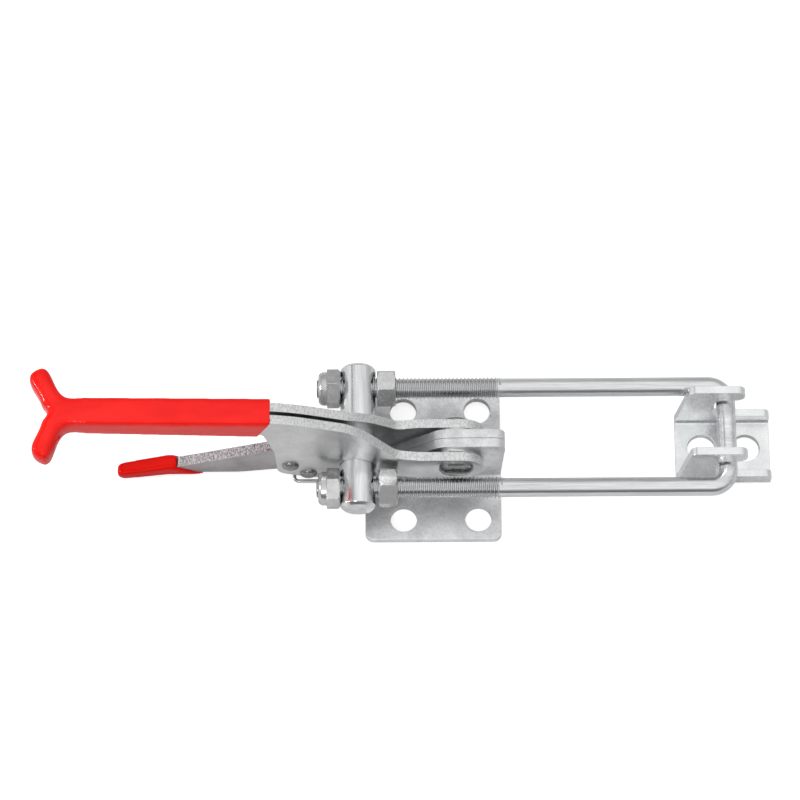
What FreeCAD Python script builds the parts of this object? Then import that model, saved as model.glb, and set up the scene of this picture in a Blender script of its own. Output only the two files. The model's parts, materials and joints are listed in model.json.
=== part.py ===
import FreeCAD, Part
import math
import os
from types import SimpleNamespace

import Sketcher
from FreeCAD import Placement, Rotation, Vector

# Over centre toggle latch in its closed position. The origin is the centre of the base's four
# holes on the mounting surface. X runs from the handle towards the keeper, Z is up, and "near"
# is the side at minus Y. All sizes are in millimetres.

# Driving dimensions. A place in X is measured from the holes' centre, positive to the right.
DIMENSIONS = {
    # Base: two folded plates that stand back to back.
    "base_sheet": 3.5,
    "base_left": 27.9,
    "base_right": 22.25,
    "base_half_width": 29.25,
    "base_corner": 3.0,
    "fold_inside": 1.6,
    "fold_outside": 3.0,
    "bolt_spacing_x": 27.5,
    "bolt_spacing_y": 42.5,
    "bolt_hole_radius": 4.9,
    "web_heel_height": 4.2,
    "web_top_left": 0.5,
    "web_top_height": 31.5,
    "web_top_overhang": 1.25,
    "web_top_corner": 4.0,
    # Main pivot, a rivet through both webs and both handle plates.
    "pivot_x": 5.5,
    "pivot_height": 22.0,
    "pivot_radius": 4.0,
    "rivet_head_radius": 6.3,
    "rivet_head_height": 2.0,
    "running_gap": 0.05,
    "washer_radius": 8.0,
    "washer_thickness": 1.15,
    # Handle: two plates that are pinched together in the grip and forked at its end.
    "plate": 3.5,
    "plate_pinched_gap": 1.2,
    "plate_lever_gap": 4.6,
    "ramp_front_left": 8.0,
    "ramp_back_left": 34.0,
    "ramp_bend": 12.0,
    "pinch_height": 44.0,
    "open_height": 29.0,
    "arm_end_reach": 10.0,
    "arm_over_pivot": 7.7,
    "arm_under_pivot": 10.5,
    "arm_end_flat": 0.6,
    "neck_foot_left": 16.0,
    "neck_foot_radius": 5.0,
    "neck_left": 28.9,
    "neck_height": 45.8,
    "neck_radius": 34.0,
    "shoulder_left": 57.3,
    "shoulder_height": 58.0,
    "shoulder_radius": 60.0,
    "handle_rise": 0.036,
    "belly_left": 23.0,
    "belly_radius": 30.0,
    "chin_left": 46.0,
    "chin_height": 5.7,
    "chin_radius": 12.0,
    "heel_left": 59.9,
    "heel_height": 11.5,
    "heel_radius": 5.0,
    "back_left": 60.6,
    "back_height": 32.0,
    "back_radius": 20.0,
    "throat_left": 64.6,
    "throat_height": 46.6,
    "throat_radius": 3.0,
    "grip_plate_rise": 0.089,
    "fork_left": 136.5,
    "fork_angle": 61.0,
    "fork_length": 13.94,
    "fork_bend": 6.0,
    # Dipped grip on the handle.
    "grip_side_skin": 1.15,
    "grip_top_skin": 1.35,
    "grip_bottom_skin": 1.9,
    "grip_front_top_left": 61.5,
    "grip_front_lean": 6.0,
    "grip_edge": 2.2,
    "fork_front_skin": 1.4,
    "fork_rear_skin": 2.1,
    "fork_end_skin": 0.9,
    "fork_crotch_left": 142.2,
    "fork_crotch_radius": 4.0,
    "fork_root_radius": 5.0,
    "fork_tip_radius": 2.8,
    # Release lever, its two rivets and its spring.
    "lever_thickness": 4.0,
    "lever_pivot_left": 55.1,
    "lever_pivot_height": 19.3,
    "lever_head_radius": 7.0,
    "stop_ahead": 6.4,
    "stop_below": 8.0,
    "stop_play": 0.1,
    "lever_travel": 12.0,
    "small_rivet_radius": 2.0,
    "small_head_radius": 3.15,
    "small_head_height": 1.4,
    "nose_reach": 15.6,
    "nose_top_below": 5.3,
    "nose_bottom_below": 13.1,
    "nose_corner": 2.0,
    "lever_belly_left": 60.5,
    "lever_belly_height": 5.6,
    "lever_sole_left": 74.0,
    "lever_sole_height": 2.6,
    "lever_end_left": 119.0,
    "lever_end_height": 7.4,
    "lever_back_left": 97.0,
    "lever_back_height": 8.4,
    "lever_bend": 20.0,
    "tip_skin": 1.4,
    "tip_top_length": 22.0,
    "tip_slant": 11.0,
    "tip_corner": 3.2,
    "tip_edge": 2.0,
    "spring_wire": 0.65,
    "spring_left": 54.0,
    "spring_reach": 9.5,
    "spring_height": 4.6,
    "spring_bend": 1.5,
    "spring_hook": 4.6,
    # Barrel and the U-bolt's play to the far side.
    "side_play": 4.6,
    "barrel_left": 30.3,
    "rod_height": 19.5,
    "barrel_radius": 6.5,
    "barrel_length": 55.6,
    "barrel_chamfer": 1.2,
    "rod_spacing": 39.1,
    "rod_radius": 3.5,
    "thread_radius": 3.97,
    "thread_end_left": 45.5,
    "thread_start_right": 20.5,
    "thread_lead_in": 0.6,
    "crossbar_x": 105.0,
    "rod_bend": 6.3,
    "rod_hole_play": 0.43,
    # Nuts.
    "nut_across_flats": 13.0,
    "nut_bore_play": 0.08,
    "nut_height": 6.8,
    "nut_chamfer": 0.75,
    "near_nut_gap": 1.0,
    "far_nut_gap": 0.5,
    "lock_hex_height": 4.9,
    "lock_height": 8.0,
    "lock_collar_radius": 5.7,
    "lock_collar_edge": 1.4,
    "lock_nut_gap": 0.05,
    "insert_radius": 5.0,
    "insert_height": 2.1,
    "insert_lip": 0.55,
    "near_nut_turn": 100.4,
    "far_nut_turn": 113.6,
    "near_lock_turn": 82.0,
    "far_lock_turn": 96.0,
    # Keeper.
    "keeper_sheet": 3.0,
    "keeper_play": 6.0,
    "keeper_left": 87.25,
    "keeper_length": 34.95,
    "keeper_width": 26.8,
    "keeper_rim_height": 9.0,
    "keeper_rim_corner": 3.0,
    "keeper_fold_inside": 1.0,
    "keeper_fold_outside": 3.0,
    "keeper_slot_x": 100.85,
    "keeper_slot_corner": 3.5,
    "keeper_arm_bottom": 24.5,
    "keeper_arm_height": 7.8,
    "keeper_arm_reach": 10.65,
    "keeper_arm_round": 3.4,
    "keeper_lean": 3.75,
    "keeper_ear_corner": 3.0,
    "keeper_hole_radius": 5.275,
    "keeper_hole_inset": 9.65,
    "keeper_hole_spacing": 16.3,
}


class Size:
    """A dimension that keeps its number together with the sheet expression that gives it."""

    def __init__(self, value, text):
        self.value = value
        self.text = text

    def combine(self, other, sign, value):
        return Size(value, "(%s %s %s)" % (self.text, sign, size_of(other).text))

    def __add__(self, other):
        return self.combine(other, "+", self.value + size_of(other).value)

    def __sub__(self, other):
        return self.combine(other, "-", self.value - size_of(other).value)

    def __mul__(self, other):
        return self.combine(other, "*", self.value * size_of(other).value)

    def __truediv__(self, other):
        return self.combine(other, "/", self.value / size_of(other).value)

    def __neg__(self):
        return Size(-self.value, "(0 - %s)" % self.text)


def size_of(number):
    """Give a plain number as a Size."""
    return number if isinstance(number, Size) else Size(float(number), repr(float(number)))


doc = FreeCAD.newDocument("toggle_latch")
sheet = doc.addObject("Spreadsheet::Sheet", "Sizes")
for row, (alias, number) in enumerate(DIMENSIONS.items(), start=1):
    sheet.set("A%d" % row, alias)
    sheet.set("B%d" % row, str(number))
    sheet.setAlias("B%d" % row, alias)
doc.recompute()
d = SimpleNamespace(**{a: Size(float(sheet.get(a)), "Sizes." + a) for a in DIMENSIONS})

ALONG = {
    "X": Rotation(Vector(0, 1, 0), 90),
    "Y": Rotation(Vector(1, 0, 0), -90),
    "Z": Rotation(),
}
THROUGH = size_of(200.0)
nodes = {}


def node(name, thing):
    """Give a finished piece the name of its file."""
    thing.Label = name
    nodes[name] = thing
    return thing


def bind(thing, **sizes):
    """Tie an object's properties to the sheet."""
    for name, size in sizes.items():
        thing.setExpression(name, size_of(size).text)


def place(thing, at, rotation=None):
    """Put an object at a point that follows the sheet."""
    point = [size_of(value) for value in at]
    thing.Placement = Placement(Vector(*[p.value for p in point]), rotation or Rotation())
    for letter, size in zip("xyz", point):
        thing.setExpression("Placement.Base." + letter, size.text)


def cylinder(name, radius, length, at, along):
    """A cylinder that starts at a point and runs along an axis."""
    thing = doc.addObject("Part::Cylinder", name)
    bind(thing, Radius=radius, Height=length)
    place(thing, at, ALONG[along])
    return thing


def cut(name, base, tools):
    """Take one or more objects out of another."""
    tool = tools[0]
    if len(tools) > 1:
        tool = doc.addObject("Part::MultiFuse", name + "_tools")
        tool.Shapes = tools
    thing = doc.addObject("Part::Cut", name)
    thing.Base = base
    thing.Tool = tool
    return thing


def mirrored(name, source):
    """The same piece on the other side of the latch's middle plane."""
    thing = doc.addObject("Part::Mirroring", name)
    thing.Source = source
    thing.Normal = Vector(0, 1, 0)
    return node(name, thing)


def sketch_on(body, name, role, lift=0):
    """A sketch on one of the body's own planes, or parallel to it."""
    plane = [feature for feature in body.Origin.OriginFeatures if feature.Role == role][0]
    sketch = body.newObject("Sketcher::SketchObject", name)
    sketch.AttachmentSupport = [(plane, "")]
    sketch.MapMode = "FlatFace"
    sketch.setExpression("AttachmentOffset.Base.z", size_of(lift).text)
    return sketch


def fix(sketch, index, place_on, point):
    """Tie a sketch point to the sheet in both directions."""
    for kind, size in zip(("DistanceX", "DistanceY"), point):
        size = size_of(size)
        number = sketch.addConstraint(
            Sketcher.Constraint(kind, -1, 1, index, place_on, size.value))
        sketch.setExpression("Constraints[%d]" % number, size.text)


def outline(sketch, corners):
    """A closed run of straight edges through corners that follow the sheet."""
    points = [Vector(size_of(x).value, size_of(y).value, 0) for x, y in corners]
    first = len(sketch.Geometry)
    count = len(points)
    for index in range(count):
        sketch.addGeometry(Part.LineSegment(points[index], points[(index + 1) % count]), False)
    for index in range(count):
        following = first + (index + 1) % count
        sketch.addConstraint(Sketcher.Constraint("Coincident", first + index, 2, following, 1))
        fix(sketch, first + index, 1, corners[index])
    return sketch


def circles(sketch, centres, radius):
    """Equal circles in a sketch."""
    for centre in centres:
        middle = Vector(size_of(centre[0]).value, size_of(centre[1]).value, 0)
        index = sketch.addGeometry(Part.Circle(middle, Vector(0, 0, 1), radius.value), False)
        fix(sketch, index, 3, centre)
        number = sketch.addConstraint(Sketcher.Constraint("Radius", index, radius.value))
        sketch.setExpression("Constraints[%d]" % number, radius.text)
    return sketch


def settle(feature):
    """Work a feature out at once, and name it if it fails."""
    doc.recompute()
    if "Invalid" in feature.State or "Error" in feature.State:
        raise ValueError("%s: %s" % (feature.Name, feature.getStatusString()))
    return feature


def pad(body, name, sketch, length, middle=False):
    """Thicken a sketch."""
    feature = body.newObject("PartDesign::Pad", name)
    feature.Profile = sketch
    feature.Midplane = middle
    bind(feature, Length=length)
    return settle(feature)


def pocket(body, name, sketch):
    """Cut a sketch right through, both ways."""
    before = body.Shape.Volume
    feature = body.newObject("PartDesign::Pocket", name)
    feature.Profile = sketch
    feature.Midplane = True
    bind(feature, Length=THROUGH)
    settle(feature)
    if body.Shape.Volume > before - 1e-3:
        raise ValueError(name + " cuts nothing")
    return feature


def revolution(body, name, sketch, axis):
    """Turn a sketch about one of its own axes."""
    feature = body.newObject("PartDesign::Revolution", name)
    feature.Profile = sketch
    feature.ReferenceAxis = (sketch, [axis])
    feature.Angle = 360
    return settle(feature)


def runs_through(edge, direction, point, flat):
    """Say whether a straight edge runs in a direction over a point of a drawing plane."""
    if not isinstance(edge.Curve, Part.Line):
        return False
    if abs(abs(edge.tangentAt(edge.FirstParameter).dot(direction)) - 1) > 1e-6:
        return False
    offset = edge.Vertexes[0].Point - point
    return all(abs(offset.dot(axis)) < 0.01 for axis in flat)


def round_corners(body, name, sketch, radii):
    """Round the edges that rise from a sketch's corners, given as corner number to radius."""
    place_of = sketch.Placement
    direction = place_of.Rotation.multVec(Vector(0, 0, 1))
    flat = [place_of.Rotation.multVec(axis) for axis in (Vector(1, 0, 0), Vector(0, 1, 0))]
    for corner, radius in radii.items():
        point = place_of.multVec(sketch.Geometry[corner].StartPoint)
        shape = body.Tip.Shape
        found = ["Edge%d" % (number + 1) for number, edge in enumerate(shape.Edges)
                 if runs_through(edge, direction, point, flat)]
        fillet(body, "%s_%d" % (name, corner), found, radius)


def round_edges(body, name, radius, chosen):
    """Round each edge of the finished body that a test picks."""
    found = ["Edge%d" % (number + 1) for number, edge in enumerate(body.Tip.Shape.Edges)
             if chosen(edge)]
    fillet(body, name, found, radius)


def fillet(body, name, edge_names, radius):
    """Round named edges of the body's last feature."""
    last = body.Tip
    feature = body.newObject("PartDesign::Fillet", name)
    feature.Base = (last, edge_names)
    bind(feature, Radius=radius)
    settle(feature)


def unit(vector):
    """The vector at length one."""
    return vector * (1.0 / vector.Length)


def rounded_wire(points, radii):
    """A closed outline whose corners are tangent arcs; radius 0 leaves a corner sharp."""
    edges = []
    ends = []
    count = len(points)
    for index, (point, radius) in enumerate(zip(points, radii)):
        back = unit(points[index - 1] - point)
        ahead = unit(points[(index + 1) % count] - point)
        if radius <= 0:
            ends.append((point, point, None))
            continue
        half = back.getAngle(ahead) / 2
        inward = unit(back + ahead)
        reach = radius / math.tan(half)
        middle = point + inward * (radius / math.sin(half) - radius)
        ends.append((point + back * reach, point + ahead * reach, middle))
    for index, (start, finish, middle) in enumerate(ends):
        if middle is not None:
            edges.append(Part.Arc(start, middle, finish).toShape())
        edges.append(Part.LineSegment(finish, ends[(index + 1) % count][0]).toShape())
    return Part.Wire(edges)


def strip_wire(points, bends, thickness):
    """The outline, seen from above, of a sheet bent along a line; bends are centre radii."""
    sides = {1: [], -1: []}
    radii = {1: [], -1: []}
    last = len(points) - 1
    for index, point in enumerate(points):
        before = unit(point - points[index - 1]) if index else None
        after = unit(points[index + 1] - point) if index < last else None
        heading = unit((before or after) + (after or before))
        normal = Vector(-heading.y, heading.x, 0)
        stretch = normal.dot(Vector(-(after or before).y, (after or before).x, 0))
        turn = 0 if before is None or after is None else before.x * after.y - before.y * after.x
        for side in (1, -1):
            sides[side].append(point + normal * (side * thickness / 2 / stretch))
            lean = side if turn > 0 else -side
            radii[side].append(bends[index] - lean * thickness / 2 if turn else 0)
    outline_points = sides[1] + sides[-1][::-1]
    return rounded_wire(outline_points, radii[1] + radii[-1][::-1])


def side_prism(points, radii):
    """Extrude an outline drawn in X and Z to both sides of the middle plane."""
    width = THROUGH.value
    wire = rounded_wire([Vector(x, -width / 2, z) for x, z in points], radii)
    return Part.Face(wire).extrude(Vector(0, width, 0))


def drill(x, z, radius):
    """A long cylinder across the latch, for boring through plates."""
    width = THROUGH.value
    return Part.makeCylinder(radius, width, Vector(x, -width / 2, z), Vector(0, 1, 0))


def feature(name, shape):
    """Store a shape made from the sheet's sizes as an object of the document."""
    thing = doc.addObject("Part::Feature", name)
    thing.Shape = shape
    return node(name, thing)


# Places that several pieces share.
plate_inner = d.base_sheet + d.washer_thickness
plate_outer = plate_inner + d.plate
lever_x = -d.lever_pivot_left
stop_x = lever_x + d.stop_ahead
stop_height = d.lever_pivot_height - d.stop_below
rod_half_spacing = d.rod_spacing / 2
near_rod = d.side_play - rod_half_spacing
far_rod = d.side_play + rod_half_spacing
nut_corner = d.nut_across_flats / math.sqrt(3)
nut_bore = d.thread_radius + d.nut_bore_play


def handle_top(x):
    """Height of the plates' straight upper edge at a place along the grip."""
    return d.shoulder_height.value - d.handle_rise.value * (x + d.shoulder_left.value)


def handle_bottom(x):
    """Height of the plates' straight lower edge inside the grip."""
    return d.throat_height.value - d.grip_plate_rise.value * (x + d.throat_left.value)


def make_base():
    """Folded plate with a foot and an upright web, and its mirror image behind it."""
    body = doc.addObject("PartDesign::Body", "base_plate")
    foot = outline(sketch_on(body, "foot_outline", "XY_Plane"), [
        (-d.base_left, -d.base_half_width),
        (d.base_right, -d.base_half_width),
        (d.base_right, size_of(0)),
        (-d.base_left, size_of(0)),
    ])
    pad(body, "foot", foot, d.base_sheet)
    web = outline(sketch_on(body, "web_outline", "XZ_Plane"), [
        (-d.base_left, size_of(0)),
        (d.base_right, size_of(0)),
        (d.base_right, d.base_sheet),
        (d.base_right + d.web_top_overhang, d.web_top_height),
        (-d.web_top_left, d.web_top_height),
        (-d.base_left, d.web_heel_height),
    ])
    pad(body, "web", web, d.base_sheet)
    round_corners(body, "web_round", web, {
        3: d.web_top_corner, 4: d.web_top_corner * 2})
    round_corners(body, "foot_round", foot, {0: d.base_corner, 1: d.base_corner})
    round_edges(body, "fold_outside", d.fold_outside, lambda edge: along_x_at(edge, 0, 0))
    sheet_size = d.base_sheet.value
    round_edges(body, "fold_inside", d.fold_inside,
                lambda edge: along_x_at(edge, -sheet_size, sheet_size))
    half_x = d.bolt_spacing_x / 2
    holes = circles(sketch_on(body, "bolt_holes", "XY_Plane"), [
        (-half_x, -d.bolt_spacing_y / 2), (half_x, -d.bolt_spacing_y / 2)], d.bolt_hole_radius)
    pocket(body, "bolt_hole_cut", holes)
    pivot = circles(sketch_on(body, "pivot_hole", "XZ_Plane"),
                    [(d.pivot_x, d.pivot_height)], d.pivot_radius)
    pocket(body, "pivot_hole_cut", pivot)
    mirrored("base_far", node("base_near", body))


def along_x_at(edge, y, z):
    """Say whether a straight edge runs along X at a place in Y and Z."""
    points = [vertex.Point for vertex in edge.Vertexes]
    straight = isinstance(edge.Curve, Part.Line)
    return straight and all(abs(p.y - y) < 0.01 and abs(p.z - z) < 0.01 for p in points)


def handle_plan(height, gap):
    """Centre line of the near plate, seen from above, for a gap between the two plates."""
    half = d.plate.value / 2
    back_y = -(gap / 2 + half)
    front_y = -(plate_inner.value + half)
    angle = math.radians(d.fork_angle.value)
    fork = Vector(-d.fork_left.value, back_y, height)
    heading = Vector(-math.cos(angle), -math.sin(angle), 0)
    reach = d.pivot_x.value + 2 * d.arm_end_reach.value
    return [
        Vector(reach, front_y, height),
        Vector(-d.ramp_front_left.value, front_y, height),
        Vector(-d.ramp_back_left.value, back_y, height),
        fork,
        fork + heading * d.fork_length.value,
    ]


def make_handle_plates():
    """Bent plate, pinched inside the grip and opened out below it to hold the release lever."""
    bends = [0, d.ramp_bend.value, d.ramp_bend.value, d.fork_bend.value, 0]
    above = d.shoulder_height.value * 1.3
    layers = [
        (above, d.plate_pinched_gap.value),
        (d.pinch_height.value, d.plate_pinched_gap.value),
        (d.open_height.value, d.plate_lever_gap.value),
        (0.5, d.plate_lever_gap.value),
    ]
    wires = [strip_wire(handle_plan(z, gap), bends, d.plate.value) for z, gap in layers]
    bent = Part.makeLoft(wires, True, True)
    end = -d.fork_left.value - d.fork_length.value - d.plate.value
    arm_end = d.pivot_x.value + d.arm_end_reach.value
    arm_top = (d.pivot_height + d.arm_over_pivot).value
    arm_bottom = (d.pivot_height - d.arm_under_pivot).value
    arm_round = (arm_top - arm_bottom - d.arm_end_flat.value) / 2
    profile = [
        ((end, handle_top(end)), 0),
        ((-d.shoulder_left.value, d.shoulder_height.value), d.shoulder_radius.value),
        ((-d.neck_left.value, d.neck_height.value), d.neck_radius.value),
        ((-d.neck_foot_left.value, arm_top), d.neck_foot_radius.value),
        ((arm_end, arm_top), arm_round),
        ((arm_end, arm_bottom), arm_round),
        ((-d.belly_left.value, arm_bottom), d.belly_radius.value),
        ((-d.chin_left.value, d.chin_height.value), d.chin_radius.value),
        ((-d.heel_left.value, d.heel_height.value), d.heel_radius.value),
        ((-d.back_left.value, d.back_height.value), d.back_radius.value),
        ((-d.throat_left.value, d.throat_height.value), d.throat_radius.value),
        ((end, handle_bottom(end)), 0),
    ]
    prism = side_prism([point for point, _ in profile], [radius for _, radius in profile])
    plate = bent.common(prism)
    running = d.running_gap.value
    for x, z, radius in (
            (d.pivot_x.value, d.pivot_height.value, d.pivot_radius.value + running),
            (-d.barrel_left.value, d.rod_height.value, d.barrel_radius.value + running),
            (lever_x.value, d.lever_pivot_height.value, d.small_rivet_radius.value),
            (stop_x.value, stop_height.value, d.small_rivet_radius.value)):
        plate = plate.cut(drill(x, z, radius))
    near = feature("handle_plate_near", plate.Solids[0])
    mirrored("handle_plate_far", near)


def make_handle_grip():
    """Dipped skin over both plates, with two arms over the fork."""
    half = d.plate.value / 2
    angle = math.radians(d.fork_angle.value)
    heading = Vector(-math.cos(angle), math.sin(angle), 0)
    normal = Vector(math.sin(angle), math.cos(angle), 0)
    side = d.plate_pinched_gap.value / 2 + d.plate.value + d.grip_side_skin.value
    root = Vector(-d.fork_left.value, d.plate_pinched_gap.value / 2 + half, 0)
    front = root + normal * (half + d.fork_front_skin.value)
    corner = front + heading * ((side - front.y) / heading.y)
    tip = root + heading * (d.fork_length.value + d.fork_end_skin.value)
    tip_front = tip + normal * (half + d.fork_front_skin.value)
    tip_rear = tip - normal * (half + d.fork_rear_skin.value)
    start = Vector(-d.grip_front_top_left.value / 2, side, 0)
    arm = [
        (start, 0),
        (corner, d.fork_root_radius.value),
        (tip_front, d.fork_tip_radius.value),
        (tip_rear, d.fork_tip_radius.value),
    ]
    crotch = (Vector(-d.fork_crotch_left.value, 0, 0), d.fork_crotch_radius.value)
    other_arm = [(Vector(point.x, -point.y, 0), radius) for point, radius in reversed(arm)]
    plan = arm + [crotch] + other_arm
    wire = rounded_wire([point for point, _ in plan], [radius for _, radius in plan])
    block = Part.Face(wire).extrude(Vector(0, 0, 1.5 * d.shoulder_height.value))

    front_x = -d.grip_front_top_left.value
    lower_x = front_x - d.grip_front_lean.value
    end = -d.fork_left.value - d.fork_length.value - 2 * d.plate.value
    above = d.grip_top_skin.value
    below = d.grip_bottom_skin.value
    prism = side_prism([
        (end, handle_top(end) + above),
        (front_x, handle_top(front_x) + above),
        (lower_x, handle_bottom(lower_x) - below),
        (end, handle_bottom(end) - below),
    ], [0, 0, 0, 0])
    skin = block.common(prism)
    skin = skin.makeFillet(d.grip_edge.value, skin.Edges)
    for name in ("handle_plate_near", "handle_plate_far"):
        skin = skin.cut(nodes[name].Shape)
    feature("handle_grip", skin)


def make_rivet(name, x, height, radius, half_grip, head_radius, head_height):
    """A rivet across the latch, with a low domed head at each end."""
    body = doc.addObject("PartDesign::Body", name)
    nothing = size_of(0)
    dome = [
        (head_radius, half_grip),
        (head_radius, half_grip + head_height * 0.3),
        (head_radius * 0.87, half_grip + head_height * 0.7),
        (head_radius * 0.6, half_grip + head_height),
    ]
    corners = [(nothing, -dome[3][1])]
    corners += [(reach, -end) for reach, end in reversed(dome)]
    corners += [(radius, -half_grip), (radius, half_grip)]
    corners += dome + [(nothing, dome[3][1])]
    half = outline(sketch_on(body, name + "_half", "XY_Plane"), corners)
    revolution(body, name + "_turned", half, "V_Axis")
    place(body, (x, nothing, height))
    node(name, body)


def make_washers():
    """Plain washers on the main pivot, between each web and handle plate."""
    for name, start in (("pivot_washer_near", -plate_inner), ("pivot_washer_far", d.base_sheet)):
        at = (d.pivot_x, start, d.pivot_height)
        disc = cylinder(name + "_disc", d.washer_radius, d.washer_thickness, at, "Y")
        hole = cylinder(name + "_hole", d.pivot_radius, d.washer_thickness, at, "Y")
        node(name, cut(name, disc, [hole]))


def make_release_lever():
    """Flat lever with a rounded head, a catch nose and an arc slot for the stop rivet."""
    body = doc.addObject("PartDesign::Body", "release_lever")
    head = d.lever_head_radius
    top = d.lever_pivot_height + head
    nose_x = lever_x + d.nose_reach
    side = outline(sketch_on(body, "lever_outline", "XZ_Plane"), [
        (-d.lever_end_left, d.lever_sole_height),
        (-d.lever_sole_left, d.lever_sole_height),
        (-d.lever_belly_left, d.lever_belly_height),
        (nose_x, d.lever_pivot_height - d.nose_bottom_below),
        (nose_x, d.lever_pivot_height - d.nose_top_below),
        (lever_x + head, d.lever_pivot_height - d.nose_top_below / 2),
        (lever_x + head, top),
        (lever_x - head * 0.45, top),
        (-d.lever_back_left, d.lever_back_height),
        (-d.lever_end_left, d.lever_end_height),
    ])
    pad(body, "lever_sheet", side, d.lever_thickness, True)
    round_corners(body, "lever_round", side, {
        0: d.nose_corner, 1: d.lever_bend, 2: d.lever_bend, 3: d.nose_corner,
        4: d.nose_corner, 5: d.nose_corner, 6: head * 0.9, 7: head * 0.8, 8: d.lever_bend,
        9: d.nose_corner})
    hole = circles(sketch_on(body, "lever_hole", "XZ_Plane"),
                   [(lever_x, d.lever_pivot_height)], d.small_rivet_radius + d.running_gap)
    pocket(body, "lever_hole_cut", hole)
    doc.recompute()

    # The slot follows the stop rivet as the lever turns by its travel.
    pivot = Vector(lever_x.value, 0, d.lever_pivot_height.value)
    radius = d.small_rivet_radius.value + d.stop_play.value
    arm = Vector(d.stop_ahead.value, 0, -d.stop_below.value)
    travel = d.lever_travel.value
    width = Vector(0, 2 * d.lever_thickness.value, 0)
    inner, outer = [], []
    for share in (0, 0.5, 1):
        turned = Rotation(Vector(0, 1, 0), -travel * share).multVec(arm)
        outward = unit(turned)
        inner.append(pivot + turned - outward * radius - width * 0.5)
        outer.append(pivot + turned + outward * radius - width * 0.5)
    wire = Part.Wire([
        Part.Arc(*inner).toShape(),
        Part.LineSegment(inner[2], outer[2]).toShape(),
        Part.Arc(*outer[::-1]).toShape(),
        Part.LineSegment(outer[0], inner[0]).toShape(),
    ])
    slot = Part.Face(wire).extrude(width)
    for share in (0, 1):
        turned = Rotation(Vector(0, 1, 0), -travel * share).multVec(arm)
        base = pivot + turned - width * 0.5
        slot = slot.fuse(Part.makeCylinder(radius, width.y, base, Vector(0, 1, 0)))
    tool = doc.addObject("Part::Feature", "lever_slot")
    tool.Shape = slot.removeSplitter()
    body.Label = "lever_blank"
    node("release_lever", cut("release_lever_slotted", body, [tool]))


def make_lever_tip():
    """Dipped tip on the end of the release lever."""
    body = doc.addObject("PartDesign::Body", "lever_tip_block")
    end = -(d.lever_end_left + d.tip_skin)
    bottom = d.lever_sole_height - d.tip_skin
    front = end + d.tip_top_length
    top = d.lever_end_height + d.tip_skin
    side = outline(sketch_on(body, "tip_outline", "XZ_Plane"), [
        (end, bottom),
        (front + d.tip_slant, bottom),
        (front, d.lever_back_height + d.tip_skin),
        (end, top),
    ])
    pad(body, "tip_block", side, d.lever_thickness + d.tip_skin * 2, True)
    round_corners(body, "tip_round", side, {0: d.tip_corner, 3: d.tip_corner})
    far = (d.lever_thickness / 2 + d.tip_skin).value
    round_edges(body, "tip_edges", d.tip_edge, lambda edge: all(
        abs(abs(vertex.Point.y) - far) < 0.01 for vertex in edge.Vertexes)
        and abs(edge.Vertexes[0].Point.y - edge.Vertexes[-1].Point.y) < 0.01)
    node("lever_grip", cut("lever_tip", body, [nodes["release_lever"]]))


def make_lever_spring():
    """Wire spring under the lever, with its end against the near plate."""
    wire = d.spring_wire.value
    outside = -(d.plate_lever_gap.value / 2 + d.plate.value + wire + d.running_gap.value)
    x = -d.spring_left.value
    z = d.spring_height.value
    bend = d.spring_bend.value
    points = [
        Vector(x, d.lever_thickness.value / 2, z),
        Vector(x, outside, z),
        Vector(x + d.spring_reach.value, outside, z),
        Vector(x + d.spring_reach.value, outside, z + d.spring_hook.value),
    ]
    edges = []
    start = points[0]
    for index in (1, 2):
        point = points[index]
        back = unit(points[index - 1] - point)
        ahead = unit(points[index + 1] - point)
        middle = point + unit(back + ahead) * (bend * (math.sqrt(2) - 1))
        edges.append(Part.LineSegment(start, point + back * bend).toShape())
        edges.append(Part.Arc(point + back * bend, middle, point + ahead * bend).toShape())
        start = point + ahead * bend
    edges.append(Part.LineSegment(start, points[3]).toShape())
    path = Part.Wire(edges)
    section = Part.Wire(Part.makeCircle(wire, points[0], Vector(0, -1, 0)))
    feature("lever_spring", path.makePipeShell([section], True, True))


def make_barrel():
    """Cross barrel with chamfered ends and two holes for the rods."""
    body = doc.addObject("PartDesign::Body", "barrel")
    nothing = size_of(0)
    end = circles(sketch_on(body, "barrel_end", "XZ_Plane"), [(nothing, nothing)],
                  d.barrel_radius)
    pad(body, "barrel_bar", end, d.barrel_length, True)
    last = body.Tip
    rims = ["Edge%d" % (number + 1) for number, edge in enumerate(last.Shape.Edges)
            if isinstance(edge.Curve, Part.Circle)]
    chamfer = body.newObject("PartDesign::Chamfer", "barrel_chamfer")
    chamfer.Base = (last, rims)
    bind(chamfer, Size=d.barrel_chamfer)
    doc.recompute()
    holes = circles(sketch_on(body, "rod_holes", "YZ_Plane"), [
        (-rod_half_spacing, nothing), (rod_half_spacing, nothing)],
        d.thread_radius + d.rod_hole_play)
    pocket(body, "rod_hole_cut", holes)
    place(body, (-d.barrel_left, d.side_play, d.rod_height))
    node("barrel", body)


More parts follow.
